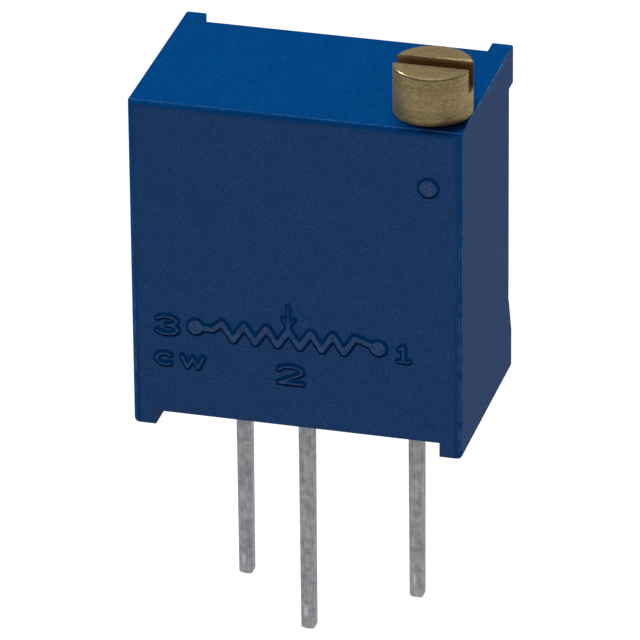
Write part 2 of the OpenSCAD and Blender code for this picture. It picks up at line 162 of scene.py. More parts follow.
def effect(name, inputs, outputs):
    """A node group with named sockets, given as (name, socket kind, default value)."""
    tree = bpy.data.node_groups.new(name, "ShaderNodeTree")
    for label, kind, value in inputs:
        socket = tree.interface.new_socket(name=label, in_out="INPUT",
                                           socket_type="NodeSocket" + kind)
        socket.default_value = value
    for label, kind in outputs:
        tree.interface.new_socket(name=label, in_out="OUTPUT", socket_type="NodeSocket" + kind)
    return tree, tree.nodes.new("NodeGroupInput").outputs, tree.nodes.new("NodeGroupOutput")


def millimetres(tree):
    """Object coordinates, scaled from metres to millimetres."""
    return scaled(tree, add(tree, "ShaderNodeTexCoord").outputs["Object"], 1 / MM)


def moulded_grain():
    """Fine mould texture: soft clouds a millimetre across shift the colour, grains a few
    hundredths across raise the surface and its roughness, and a few pale fibre ends show."""
    tree, given, out = effect(
        "moulded_grain",
        [("Colour", "Color", (0.5, 0.5, 0.5, 1)), ("Cloud Shift", "Float", 0.08),
         ("Grain Shift", "Float", 0.06), ("Grain Height", "Float", 0.5),
         ("Roughness", "Float", 0.5), ("Specks", "Float", 0.0)],
        [("Colour", "Color"), ("Roughness", "Float"), ("Normal", "Vector")])
    place = millimetres(tree)
    clouds = noise(tree, place, scale=0.9, detail=3.0)
    grain = noise(tree, place, scale=18.0, detail=3.0, roughness=0.7)
    cloud_value = math_node(tree, "SUBTRACT", clouds, NOISE_MIDDLE)
    grain_value = math_node(tree, "SUBTRACT", grain, NOISE_MIDDLE)
    shift = math_node(tree, "ADD", product(tree, cloud_value, given["Cloud Shift"]),
                      product(tree, grain_value, given["Grain Shift"]))
    shaded = scaled(tree, given["Colour"], math_node(tree, "MULTIPLY_ADD", shift, SHIFT_GAIN, 1.0))
    cells = add(tree, "ShaderNodeTexVoronoi", {"Vector": place, "Scale": 4.0}).outputs
    spots = ranged(tree, cells["Distance"], SPECK_RADII, (1.0, 0.0))
    pick = add(tree, "ShaderNodeSeparateXYZ", {0: cells["Color"]}).outputs[0]
    picked = math_node(tree, "GREATER_THAN", pick, SPECK_PICK)
    specks = product(tree, spots, picked, given["Specks"])
    rougher = product(tree, grain_value, ROUGHNESS_SHIFT)
    wire(tree, out, {"Colour": mixed(tree, specks, shaded, PALE_SPECK),
                     "Roughness": math_node(tree, "ADD", given["Roughness"], rougher),
                     "Normal": bumped(tree, grain, given["Grain Height"], GRAIN_DEPTH)})
    return tree


def face_masks():
    """Masks by the object normal. Front and Side are 1 on upright faces that look along Y or X
    and 0 on slanted borders and where the surface leans further than the limit. Underside and
    Upside grow as it faces down or up, and Slanted is 1 between the three axes."""
    labels = ("Front", "Side", "Underside", "Upside", "Slanted")
    tree, given, out = effect("face_masks", [("Lean", "Float", BLOOM_LEAN)],
                              [(label, "Float") for label in labels])
    normal = add(tree, "ShaderNodeTexCoord").outputs["Normal"]
    parts = add(tree, "ShaderNodeSeparateXYZ", {0: normal}).outputs
    across, deep, steep = (math_node(tree, "ABSOLUTE", part) for part in parts)
    leaning = math_node(tree, "DIVIDE", steep, given["Lean"])
    upright = math_node(tree, "SUBTRACT", 1.0, leaning, clamp=True)
    greatest = math_node(tree, "MAXIMUM", math_node(tree, "MAXIMUM", across, deep), steep)
    wire(tree, out, {
        "Front": product(tree, upright, ranged(tree, deep, FACING)),
        "Side": product(tree, upright, ranged(tree, across, FACING)),
        "Underside": math_node(tree, "MULTIPLY", parts[2], -TILT_GAIN, clamp=True),
        "Upside": math_node(tree, "MULTIPLY", parts[2], TILT_GAIN, clamp=True),
        "Slanted": ranged(tree, greatest, SLANTING, (1.0, 0.0))})
    return tree


def new_material(name):
    """A material with an empty Principled BSDF; returns it, its tree and the shader node."""
    made = bpy.data.materials.new(name)
    made.use_nodes = True
    return made, made.node_tree, made.node_tree.nodes["Principled BSDF"]


def finished(name, group, given, label, constant):
    """A material whose colour, roughness and normal come from a finish group with the given
    values, and one constant on the shader's own socket."""
    made, tree, shader = new_material(name)
    finish = add(tree, "ShaderNodeGroup", given, node_tree=group).outputs
    wire(tree, shader, {"Base Color": finish["Colour"], "Roughness": finish["Roughness"],
                        "Normal": finish["Normal"]})
    shader.inputs[label].default_value = constant
    return made


def reopened(made):
    """A finished material's tree, shader node and finish group, for more to be added."""
    nodes = made.node_tree.nodes
    return made.node_tree, nodes["Principled BSDF"], nodes["Group"]


def moulding(name, colour, roughness, specular, height=0.5, cloud=0.05, grain=0.05):
    """A moulded or cast material: one colour through the fine grain."""
    given = {"Colour": colour, "Roughness": roughness, "Grain Height": height,
             "Cloud Shift": cloud, "Grain Shift": grain}
    return finished(name, MOULDED_GRAIN, given, "Specular IOR Level", specular)


def bloomed(name, colour, front, side, lean=BLOOM_LEAN, underside=0.0, upside=0.0, slanted=0.0):
    """The blue moulding: dull below, with an uneven pale bloom on its upright walls alone and
    pale specks elsewhere. Slopes that face down or up get painted shade by their shares, and
    slanted borders get painted light by theirs."""
    made = moulding(name, colour, HOUSING_ROUGHNESS, specular=0.0, grain=HOUSING_GRAIN)
    tree, shader, finish = reopened(made)
    faces = add(tree, "ShaderNodeGroup", {"Lean": lean}, node_tree=FACE_MASKS).outputs
    bloom = math_node(tree, "ADD", product(tree, faces["Front"], front),
                      product(tree, faces["Side"], side))
    patches = noise(tree, millimetres(tree), scale=22.0, detail=2.0)
    uneven = ranged(tree, patches, NOISE_BAND, PATCH_LEVELS)
    bare = math_node(tree, "SUBTRACT", 1.0, product(tree, bloom, SPECK_GAIN), clamp=True)
    # painted light on slanted borders, painted shade on slopes that face down or up
    gained = math_node(tree, "MULTIPLY_ADD", faces["Slanted"], slanted, 1.0)
    shaded = math_node(tree, "ADD", product(tree, faces["Underside"], underside),
                       product(tree, faces["Upside"], upside))
    level = math_node(tree, "SUBTRACT", gained, shaded)
    wire(tree, finish, {"Specks": product(tree, bare, SPECK_AMOUNT)})
    wire(tree, shader, {"Base Color": scaled(tree, finish.outputs["Colour"], level),
                        "Coat Weight": product(tree, bloom, uneven)})
    shader.inputs["Coat Roughness"].default_value = BLOOM_ROUGHNESS
    return made


def around_screw(tree):
    """Places seen from the screw axis, in millimetres: the place and its parts, its distance
    from the axis, and its aim, which is 1 straight towards the front corner where shadow is
    painted."""
    place = vector_node(tree, "SUBTRACT", millimetres(tree), (SCREW_X, SCREW_Y, 0))
    x, y, z = add(tree, "ShaderNodeSeparateXYZ", {0: place}).outputs
    flat = add(tree, "ShaderNodeCombineXYZ", {"X": x, "Y": y}).outputs[0]
    outward = vector_node(tree, "NORMALIZE", flat)
    return SimpleNamespace(place=place, x=x, y=y, z=z, radius=vector_node(tree, "LENGTH", flat),
                           aim=vector_node(tree, "DOT_PRODUCT", outward, SHADOW_TOWARDS))


def painted_shadow_under_head(made):
    """Paints shadow on the top and the front border round the right front of the screw head:
    darker by the distance from the screw axis, and most towards the corner."""
    tree, shader, _ = reopened(made)
    unshaded = shader.inputs["Base Color"].links[0].from_socket
    at = around_screw(tree)
    near = ranged(tree, at.radius, HEAD_SHADOW_REACH, (1.0, 0.0), interpolation_type="SMOOTHSTEP")
    aimed = ranged(tree, at.aim, HEAD_SHADOW_AIM)
    high = ranged(tree, at.z, [BODY_TOP / MM + height for height in HEAD_SHADOW_FADE])
    inside = math_node(tree, "LESS_THAN", at.x, BODY_HALF_WIDTH / MM - SCREW_X - SIDE_MARGIN)
    shadow_share = product(tree, near, aimed, high, inside, HEAD_SHADOW_DEPTH)
    wire(tree, shader, {"Base Color": scaled(tree, unshaded, remaining(tree, shadow_share))})
    return made


def painted_edge_highlight():
    """The crisp edges of the moulding: a painted highlight, pale in short runs, with a light sheen.
    """
    made = moulding("painted_edge_highlight", HOUSING_BLUE, HOUSING_ROUGHNESS, specular=0.0, grain=EDGE_GRAIN)
    tree, shader, finish = reopened(made)
    runs = ranged(tree, noise(tree, millimetres(tree), scale=2.5, detail=2.0), HIGHLIGHT_RUN_BAND)
    # the pale runs are a painted highlight along the crisp edges
    wire(tree, shader, {"Base Color": mixed(tree, runs, finish.outputs["Colour"], EDGE_HIGHLIGHT_BLUE)})
    shader.inputs["Coat Weight"].default_value = EDGE_BLOOM
    shader.inputs["Coat Roughness"].default_value = BLOOM_ROUGHNESS
    return made


def softened(node, name, bevel, above=None, trim=None, highlight_strip=0.0):
    """A copy of a CAD node, merged by distance and its flat triangles joined, with its sharp
    edges bevelled: all that have room for it, or only those above a height. Trim may move its
    points first. Long strips narrower than the given strip width get the second material, which
    paints a highlight on them."""
    work = bmesh.new()
    work.from_mesh(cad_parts[node].data)
    bmesh.ops.remove_doubles(work, verts=work.verts, dist=MERGE_DISTANCE)
    bmesh.ops.dissolve_limit(work, angle_limit=JOINED_ANGLE, verts=work.verts, edges=work.edges)
    if trim:
        trim(work)
    weight = work.edges.layers.float.new("bevel_weight_edge")
    for edge in work.edges:
        angle = edge.calc_face_angle(0) if len(edge.link_faces) == 2 else 0
        room = min(e.calc_length() for v in edge.verts for e in v.link_edges) > 2 * bevel
        high = above is None or min(v.co.z for v in edge.verts) > above
        broken = angle > BROKEN_ANGLE and room and high
        edge[weight] = 1.0 if broken else 0.0
        edge.smooth = broken or angle < SMOOTH_ANGLE
    for face in work.faces:
        face.smooth = True
        longest = max(edge.calc_length() for edge in face.edges)
        if longest > MM and face.calc_area() < highlight_strip * longest:
            face.material_index = 1
    mesh = bpy.data.meshes.new(name)
    work.to_mesh(mesh)
    work.free()
    made = bpy.data.objects.new(name, mesh)
    bpy.context.collection.objects.link(made)
    rounding = made.modifiers.new("broken_edges", "BEVEL")
    rounding.width = bevel
    rounding.segments = BEVEL_SEGMENTS
    rounding.limit_method = "WEIGHT"
    flat = made.modifiers.new("flat_faces", "WEIGHTED_NORMAL")
    flat.weight = FLAT_WEIGHT
    flat.keep_sharp = True
    return made


def dress(piece, body, slot, *materials):
    """Gives a new piece its materials and the body that it rides on. Its slot is not used."""
    for material in materials:
        piece.data.materials.append(material)
    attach(piece, body)


MOULDED_GRAIN = moulded_grain()
FACE_MASKS = face_masks()
housing = softened("housing", "moulded_housing", HOUSING_BEVEL, highlight_strip=HIGHLIGHT_STRIP_WIDTH)
# The housing colour carries painted shadow round the right front of the screw head.
HOUSING_MATERIAL = painted_shadow_under_head(bloomed("housing_blue", HOUSING_BLUE, FRONT_BLOOM, SIDE_BLOOM,
                                            slanted=BORDER_PAINTED_LIGHT))
dress(housing, "case", "blue_moulding", HOUSING_MATERIAL, painted_edge_highlight())
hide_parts("housing")

# Raised marks on the front
# Terminal numbers, resistor symbol, index dot and turning direction, cut in the mould.
# They stand a little proud of the front, with soft shoulders; slopes that face down or up get
# painted shade.
MARK_HEIGHT = 0.06
MARK_SHOULDER = 0.065
MARK_FOOT = 0.03
MARK_SKIRT = 0.04
MARK_ROOT = 2 * MARK_SKIRT
MARK_GRID = 0.02
MARK_BLUE = (0.0012, 0.052, 0.2, 1)
MARK_BLOOM, MARK_LEAN = 1.35, 0.7
# painted shade on mark slopes that face down and up
MARK_UNDERSIDE_SHADE, MARK_UPSIDE_SHADE = 0.6, 0.3
NUMBER_STROKE, SYMBOL_STROKE, ARROW_STROKE = 0.085, 0.13, 0.07
INDEX_PLACE, INDEX_RADIUS = (3.82, 8.3), 0.3
LEFT_DOT, RIGHT_DOT, DOT_RADIUS = (-2.9, 3.22), (2.38, 3.19), 0.27
ZIGZAG_LEFT, ZIGZAG_PITCH, ZIGZAG_COUNT = -1.81, 0.64, 6
ZIGZAG_LOW, ZIGZAG_HIGH = 2.94, 3.43
LEAD_END = (ZIGZAG_LEFT - 0.6, 3.2)
WIPER_X, WIPER_TOP = -0.21, 4.16
ARROW_GAP, ARROW_HALF, ARROW_RISE = 0.1, 0.16, 0.26


def arc(cx, cz, rx, rz, start, end, steps=12):
    """Points of an ellipse arc, in degrees from +X towards +Z."""
    turn = np.radians(np.linspace(start, end, steps))
    return np.column_stack((cx + rx * np.cos(turn), cz + rz * np.sin(turn)))


def stroke_distance(x, z, path, radius):
    """Distance from each grid point to a stroke: the least distance to its segments less its
    radius, below 0 inside the stroke."""
    path = np.asarray(path, float)
    if len(path) == 1:
        return np.hypot(x - path[0, 0], z - path[0, 1]) - radius
    best = np.full(x.shape, np.inf)
    for (ax, az), (bx, bz) in zip(path[:-1], path[1:]):
        dx, dz = bx - ax, bz - az
        along = np.clip(((x - ax) * dx + (z - az) * dz) / (dx * dx + dz * dz), 0, 1)
        best = np.minimum(best, np.hypot(x - ax - along * dx, z - az - along * dz))
    return best - radius


def closed_relief(front, index, cells):
    """The points and faces of a closed relief: the kept cells of the front grid, the same cells
    on a flat back inside the wall, and a side face on each edge that only one cell has."""
    back = front.copy()
    back[:, 1] = BODY_FRONT + MARK_ROOT * MM
    a, b = index[:-1, :-1][cells], index[1:, :-1][cells]
    c, d = index[1:, 1:][cells], index[:-1, 1:][cells]
    count = len(front)
    edges = np.vstack([np.column_stack(pair) for pair in ((a, b), (b, c), (c, d), (d, a))])
    _, where, times = np.unique(np.sort(edges, axis=1), axis=0, return_inverse=True,
                                return_counts=True)
    rim = edges[times[where.ravel()] == 1]
    quads = np.vstack([np.column_stack((a, b, c, d)), np.column_stack((d, c, b, a)) + count,
                       np.column_stack((rim[:, 1], rim[:, 0], rim[:, 0] + count,
                                        rim[:, 1] + count))])
    used, quads = np.unique(quads, return_inverse=True)
    return np.vstack((front, back))[used], quads.reshape(-1, 4)


def raised_mark(name, strokes):
    """A relief on the front face. On a square grid, the front surface rises by a smooth S
    curve, s * s * (3 - 2 * s), from the foot outside a stroke to the shoulder inside it, and
    falls into the wall beyond the foot as a skirt. The cells near a stroke are kept. Strokes
    are (path, radius), in millimetres."""
    points = np.vstack([np.asarray(path, float) for path, _ in strokes])
    margin = max(radius for _, radius in strokes) + MARK_FOOT + 3 * MARK_SKIRT
    low, high = points.min(0) - margin, points.max(0) + margin
    xs = np.arange(low[0], high[0] + MARK_GRID, MARK_GRID)
    zs = np.arange(low[1], high[1] + MARK_GRID, MARK_GRID)
    x, z = np.meshgrid(xs, zs, indexing="ij")
    away = np.min([stroke_distance(x, z, path, radius) for path, radius in strokes], axis=0)
    rise = np.clip((MARK_FOOT - away) / (MARK_FOOT + MARK_SHOULDER), 0, 1)
    skirt = np.clip(away - MARK_FOOT, 0, MARK_SKIRT)
    height = MARK_HEIGHT * rise * rise * (3 - 2 * rise) - skirt
    keep = away < MARK_FOOT + MARK_SKIRT
    cells = keep[:-1, :-1] & keep[1:, :-1] & keep[:-1, 1:] & keep[1:, 1:]
    front = np.column_stack((x.ravel() * MM, BODY_FRONT - height.ravel() * MM, z.ravel() * MM))
    vertices, faces = closed_relief(front, np.arange(x.size).reshape(x.shape), cells)
    mesh = bpy.data.meshes.new(name)
    mesh.from_pydata(vertices.tolist(), [], faces.tolist())
    mesh.shade_smooth()
    made = bpy.data.objects.new(name, mesh)
    bpy.context.collection.objects.link(made)
    dress(made, "case", "blue_moulding", MARK_MATERIAL)


def stroked(paths, radius=NUMBER_STROKE):
    """Paths as strokes of one radius."""
    return [(path, radius) for path in paths]


def number_1(x, z, wide, high):
    """A figure 1: an upright stroke with a short flag and a foot."""
    return [[(x - 0.4 * wide, z + 0.28 * high), (x, z + 0.5 * high), (x, z - 0.5 * high)],
            [(x - 0.5 * wide, z - 0.5 * high), (x + 0.5 * wide, z - 0.5 * high)]]


def number_2(x, z, wide, high):
    """A figure 2: an arc over the top, a slope and a straight base."""
    top = arc(x, z + 0.22 * high, 0.5 * wide, 0.28 * high, start=170, end=-40)
    base = [(x - 0.5 * wide, z - 0.5 * high), (x + 0.5 * wide, z - 0.5 * high)]
    return [np.vstack((top, base))]


def number_3(x, z, wide, high):
    """A figure 3: two arcs that meet in the middle."""
    upper = arc(x, z + 0.26 * high, 0.5 * wide, 0.24 * high, start=160, end=-90)
    lower = arc(x, z - 0.24 * high, 0.54 * wide, 0.26 * high, start=90, end=-160)
    return [upper, lower]


def letter_c(x, z, wide, high):
    """A letter C: an arc open to the right."""
    return [arc(x, z, 0.5 * wide, 0.5 * high, start=50, end=310, steps=16)]


def letter_w(x, z, wide, high):
    """A letter W: four slopes."""
    return [[(x - 0.5 * wide, z + 0.5 * high), (x - 0.25 * wide, z - 0.5 * high),
             (x, z + 0.35 * high), (x + 0.25 * wide, z - 0.5 * high),
             (x + 0.5 * wide, z + 0.5 * high)]]


def resistor_symbol():
    """A dot, a zigzag of even valleys and peaks, and a dot, with the wiper's arrow above it."""
    line = [LEFT_DOT, LEAD_END, (ZIGZAG_LEFT - ZIGZAG_PITCH / 2, ZIGZAG_HIGH)]
    for turn in range(ZIGZAG_COUNT):
        valley = ZIGZAG_LEFT + turn * ZIGZAG_PITCH
        line += [(valley, ZIGZAG_LOW), (valley + ZIGZAG_PITCH / 2, ZIGZAG_HIGH)]
    line.append(RIGHT_DOT)
    tip = (WIPER_X, ZIGZAG_HIGH + ARROW_GAP)
    arrow = [[(WIPER_X, WIPER_TOP), tip], [(WIPER_X - ARROW_HALF, tip[1] + ARROW_RISE), tip],
             [(WIPER_X + ARROW_HALF, tip[1] + ARROW_RISE), tip]]
    return ([([LEFT_DOT], DOT_RADIUS), ([RIGHT_DOT], DOT_RADIUS), (line, SYMBOL_STROKE)]
            + stroked(arrow, ARROW_STROKE))


# the marks' slopes that face down or up get painted shade
MARK_MATERIAL = bloomed("mark_blue_painted_shade", MARK_BLUE, MARK_BLOOM, MARK_BLOOM, lean=MARK_LEAN,
                        underside=MARK_UNDERSIDE_SHADE, upside=MARK_UPSIDE_SHADE)
raised_mark("terminal_number_1", stroked(number_1(x=3.1, z=3.1, wide=0.3, high=0.46)))
raised_mark("terminal_number_2", stroked(number_2(x=-0.16, z=2.05, wide=0.68, high=0.52)))
raised_mark("terminal_number_3", stroked(number_3(x=-3.74, z=3.18, wide=0.58, high=0.54)))
raised_mark("turning_mark", stroked(letter_c(x=-3.81, z=2.12, wide=0.48, high=0.34)
                                    + letter_w(x=-3.0, z=2.1, wide=0.62, high=0.34)))
raised_mark("index_dot", [([INDEX_PLACE], INDEX_RADIUS)])
raised_mark("resistor_symbol", resistor_symbol())

# Adjustment screw
# Turned from brass bar in one piece: slotted head, neck, worm and lower journal.
# The tool left fine rings, the rim of the head is burnished, the slot is coloured darker and
# redder, and painted shade darkens the top, a line below the rim and the front foot of the head.
HEAD_RADIUS, HEAD_TOP = (SCREW_HIGH[0] - SCREW_LOW[0]) / 2 / MM, SCREW_HIGH[2] / MM
SLOT_HALF_WIDTH, SLOT_DEPTH = 0.265, 0.7
CHAMFER, CHAMFER_LEFT = 0.08, 0.035
SHARE_SLACK, ON_CHAMFER, ON_SLOT_WALL, ON_AXIS = 0.01, 0.004, 0.002, 0.01
SCREW_BEVEL = 0.012 * MM
BRASS = (0.45, 0.35, 0.158, 1)
BRASS_STAIN = (0.25, 0.185, 0.09, 1)
# darker, redder colour for the slot
BRASS_SLOT_DARK = (0.17, 0.085, 0.018, 1)
BRASS_METAL, BRASS_ROUGHNESS = 0.7, (0.42, 0.58)
RING_SHADES, GLINT_SHADES = (0.8, 1.2), (0.72, 1.3)
STAIN_BAND, STAIN_SHARES = (0.35, 0.75), (0.0, 0.9)
RING_DEPTH, GRIT_DEPTH = 0.008 * MM, 0.01 * MM
SLOT_MARGIN, FLOOR_MARGIN, LIP_FADE = 0.03, 0.01, (0.12, 0.02)
RIM_WIDTH, BURNISHED_X, BURNISHING = 0.045, (-0.6, -0.2), 0.28
# Painted shadow line below the rim, painted shade on the flat top and at the front foot of the
# head.
RIM_LINE, RIM_LINE_HALF, RIM_SHADOW_DEPTH = 0.06, 0.02, 0.6
TOP_SKIN, TOP_PAINTED_SHADE = 0.004, 0.2
FOOT_FADE, FOOT_AIM, FOOT_PAINTED_SHADOW = (0.08, 0.22), (0.3, 0.95), 0.8


def crisp_rim(work):
    """The lathe's wide chamfer is rolled back to a narrow one: points on the chamfer keep their
    share of its rise and fall, in the narrow width, and the walls of the slot stay flat. It is
    worked out in millimetres from the axis of the screw."""
    for point in work.verts:
        x, y, z = point.co.x / MM - SCREW_X, point.co.y / MM - SCREW_Y, point.co.z / MM
        share = (z - HEAD_TOP + CHAMFER) / CHAMFER
        reach = math.hypot(x, y)
        if share < -SHARE_SLACK or abs(reach - HEAD_RADIUS + CHAMFER * share) > ON_CHAMFER:
            continue
        narrow = HEAD_RADIUS - CHAMFER_LEFT * share
        if abs(abs(y) - SLOT_HALF_WIDTH) > ON_SLOT_WALL:
            x, y = x * narrow / reach, y * narrow / reach
        elif abs(x) > ON_AXIS:
            x = math.copysign(math.sqrt(narrow * narrow - y * y), x)
        point.co = ((SCREW_X + x) * MM, (SCREW_Y + y) * MM,
                    (HEAD_TOP - CHAMFER_LEFT * (1 - share)) * MM)


def slot_darkening(tree, at):
    """1 on the floor and the walls of the slot, and fading out at its lips."""
    across = math_node(tree, "ABSOLUTE", at.y)
    between = math_node(tree, "LESS_THAN", across, SLOT_HALF_WIDTH + SLOT_MARGIN)
    above = math_node(tree, "GREATER_THAN", at.z, HEAD_TOP - SLOT_DEPTH - FLOOR_MARGIN)
    below = ranged(tree, at.z, [HEAD_TOP - depth for depth in LIP_FADE], (1.0, 0.0))
    return product(tree, between, above, below)


def burnished_rim(tree, at):
    """1 on the left of the rim, where it is rubbed smooth."""
    outer = math_node(tree, "GREATER_THAN", at.radius, HEAD_RADIUS - RIM_WIDTH)
    upper = math_node(tree, "GREATER_THAN", at.z, HEAD_TOP - RIM_WIDTH)
    return product(tree, outer, upper, ranged(tree, at.x, BURNISHED_X, (1.0, 0.0)))


def head_painted_shade(tree, at):
    """Share of the colour that is kept, all painted shade: less on the flat top, along a fine
    shadow line below the rim, and round the foot of the head at the front corner."""
    below_top = math_node(tree, "SUBTRACT", HEAD_TOP, at.z)
    line = math_node(tree, "COMPARE", below_top, RIM_LINE, RIM_LINE_HALF)
    outer = math_node(tree, "GREATER_THAN", at.radius, HEAD_RADIUS - RIM_WIDTH)
    on_top = math_node(tree, "LESS_THAN", below_top, TOP_SKIN)
    # painted shadow line below the rim, and painted shade on the flat top
    kept = math_node(tree, "SUBTRACT", remaining(tree, product(tree, line, outer, RIM_SHADOW_DEPTH)),
                     product(tree, on_top, TOP_PAINTED_SHADE))
    # painted shadow round the front foot of the head
    foot = ranged(tree, at.z, [BODY_TOP / MM + height for height in FOOT_FADE], (1.0, 0.0))
    shadow_share = product(tree, foot, ranged(tree, at.aim, FOOT_AIM), FOOT_PAINTED_SHADOW)
    return product(tree, kept, remaining(tree, shadow_share))


def turned_brass():
    """Dull brass with rings from the lathe: noise of the radius and the height alone, so that
    it runs round the axis, with soft stains and fine glints over it. The rim is smoother and
    the slot darker, and painted shade darkens the top, a line below the rim and the foot."""
    made, tree, shader = new_material("turned_brass")
    at = around_screw(tree)
    section = add(tree, "ShaderNodeCombineXYZ", {"X": at.radius, "Z": at.z}).outputs[0]
    rings = noise(tree, section, scale=22.0, detail=3.0)
    stains = noise(tree, at.place, scale=8.0, detail=6.0, roughness=0.8)
    glints = noise(tree, at.place, scale=26.0, detail=2.0)
    stained = mixed(tree, ranged(tree, stains, STAIN_BAND, STAIN_SHARES), BRASS, BRASS_STAIN)
    # the slot is coloured darker and redder
    slot_darkened = mixed(tree, slot_darkening(tree, at), stained, BRASS_SLOT_DARK)
    shade = product(tree, ranged(tree, rings, NOISE_BAND, RING_SHADES), head_painted_shade(tree, at),
                    ranged(tree, glints, NOISE_BAND, GLINT_SHADES))
    rough = ranged(tree, stains, NOISE_BAND, BRASS_ROUGHNESS)
    smoothing = product(tree, burnished_rim(tree, at), BURNISHING)
    ringed = bumped(tree, rings, strength=0.5, depth=RING_DEPTH)
    wire(tree, shader, {
        "Base Color": scaled(tree, slot_darkened, shade),
        "Roughness": math_node(tree, "SUBTRACT", rough, smoothing),
        "Normal": bumped(tree, stains, strength=0.5, depth=GRIT_DEPTH, under=ringed)})
    shader.inputs["Metallic"].default_value = BRASS_METAL
    return made


screw = softened("adjustment_screw", "slotted_screw", SCREW_BEVEL, above=BODY_TOP, trim=crisp_rim)
dress(screw, "screw", "screw_brass", turned_brass())
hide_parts("adjustment_screw")

# Seal ring and retaining clip
# A rubber ring in the neck groove keeps washing fluid out.
# A punched spring clip in the journal groove keeps the screw in the housing.
RUBBER_BLACK = (0.03, 0.03, 0.03, 1)
SPRING_STEEL = (0.55, 0.56, 0.58, 1)
STEEL_DULL = (0.4, 0.4, 0.42, 1)
DRAWN_STRETCH = (1.0, 1.0, 0.08)
BLOTCH_BAND, STREAK_SHADES, DULL_ROUGHNESS = (0.38, 0.68), (0.84, 1.14), 0.15
LINE_DEPTH, BLOTCH_DEPTH = 0.006 * MM, 0.012 * MM


def drawn_grain():
    """Lines left by rolling or drawing: noise stretched along Z, with soft blotches of the
    plating over it."""
    tree, given, out = effect(
        "drawn_grain",
        [("Colour", "Color", (0.5, 0.5, 0.5, 1)), ("Dull Colour", "Color", (0.3, 0.3, 0.3, 1)),
         ("Blotch Size", "Float", 3.0), ("Roughness", "Float", 0.4)],
        [("Colour", "Color"), ("Roughness", "Float"), ("Normal", "Vector")])
    place = millimetres(tree)
    lines = noise(tree, vector_node(tree, "MULTIPLY", place, DRAWN_STRETCH), scale=16.0, detail=3.0)
    blotches = noise(tree, place, scale=given["Blotch Size"], detail=5.0, roughness=0.65)
    dulled = ranged(tree, blotches, BLOTCH_BAND)
    blotched = mixed(tree, dulled, given["Colour"], given["Dull Colour"])
    rougher = product(tree, dulled, DULL_ROUGHNESS)
    lined = bumped(tree, lines, strength=0.4, depth=LINE_DEPTH)
    wire(tree, out, {
        "Colour": scaled(tree, blotched, ranged(tree, lines, NOISE_BAND, STREAK_SHADES)),
        "Roughness": math_node(tree, "ADD", given["Roughness"], rougher),
        "Normal": bumped(tree, blotches, strength=0.5, depth=BLOTCH_DEPTH, under=lined)})
    return tree


def drawn_metal(name, colour, dull, roughness, blotch=3.0):
    """A drawn, rolled or plated metal."""
    given = {"Colour": colour, "Dull Colour": dull, "Blotch Size": blotch, "Roughness": roughness}
    return finished(name, DRAWN_GRAIN, given, "Metallic", 1.0)


def finish_node(node, material):
    """Gives a CAD node that stays as it is its material."""
    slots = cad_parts[node].data.materials
    slots.clear()
    slots.append(material)


DRAWN_GRAIN = drawn_grain()
finish_node("screw_seal", moulding("seal_rubber", RUBBER_BLACK, roughness=0.7, specular=0.4,
                                   height=0.8))
finish_node("retaining_clip", drawn_metal("spring_steel", SPRING_STEEL, STEEL_DULL, roughness=0.3))

# Worm gear
# Moulded in natural nylon, with thirty teeth, a thin web and a hub.
# The hub runs on the post of the housing.
NATURAL_NYLON = (0.8, 0.77, 0.68, 1)
finish_node("worm_gear", moulding("natural_nylon", NATURAL_NYLON, roughness=0.45, specular=0.4,
                                  height=0.3))

# Wiper
# Blanked and bent from thin spring bronze.
# It is staked to the back of the gear.
SPRING_BRONZE = (0.7, 0.46, 0.22, 1)
BRONZE_DULL = (0.5, 0.32, 0.16, 1)
finish_node("wiper", drawn_metal("spring_bronze", SPRING_BRONZE, BRONZE_DULL, roughness=0.25))

# Element plate and films
# A white alumina plate stands between the ribs of the housing.
# A resistive track and silver conductors are printed and fired on its front.
ALUMINA = (0.84, 0.83, 0.78, 1)
TRACK_INK = (0.035, 0.035, 0.04, 1)
SILVER_FILM = (0.62, 0.6, 0.56, 1)
SILVER_DULL = (0.45, 0.43, 0.4, 1)
finish_node("element_plate", moulding("fired_alumina", ALUMINA, roughness=0.6, specular=0.5,
                                      height=0.6))
finish_node("resistive_track", moulding("track_ink", TRACK_INK, roughness=0.35, specular=0.5,
                                        height=0.4))
SILVER_MATERIAL = drawn_metal("silver_film", SILVER_FILM, SILVER_DULL, roughness=0.45, blotch=6.0)
for conductor in ("end_conductor_1", "end_conductor_3", "collector_conductor"):
    finish_node(conductor, SILVER_MATERIAL)

# Terminal pins and solder
# Square bronze pins, tin plated and dulled, each with a clip soldered to the plate.
# Their edges are rolled soft, the plating is blotched, and a paler oval is coloured in near each
# tip.
TIN = (0.545, 0.56, 0.58, 1)
TIN_DULL = (0.365, 0.375, 0.395, 1)
TIN_PALE_SPOT = (0.76, 0.77, 0.8, 1)
PIN_BEVEL = 0.035 * MM
PIN_PITCH = 2.54
SPOT_X, SPOT_Z, SPOT_WIDTH, SPOT_HEIGHT = -0.05, -5.97, 0.08, 0.25
SOLDER_GREY = (0.6, 0.61, 0.62, 1)
SOLDER_DULL = (0.45, 0.46, 0.47, 1)


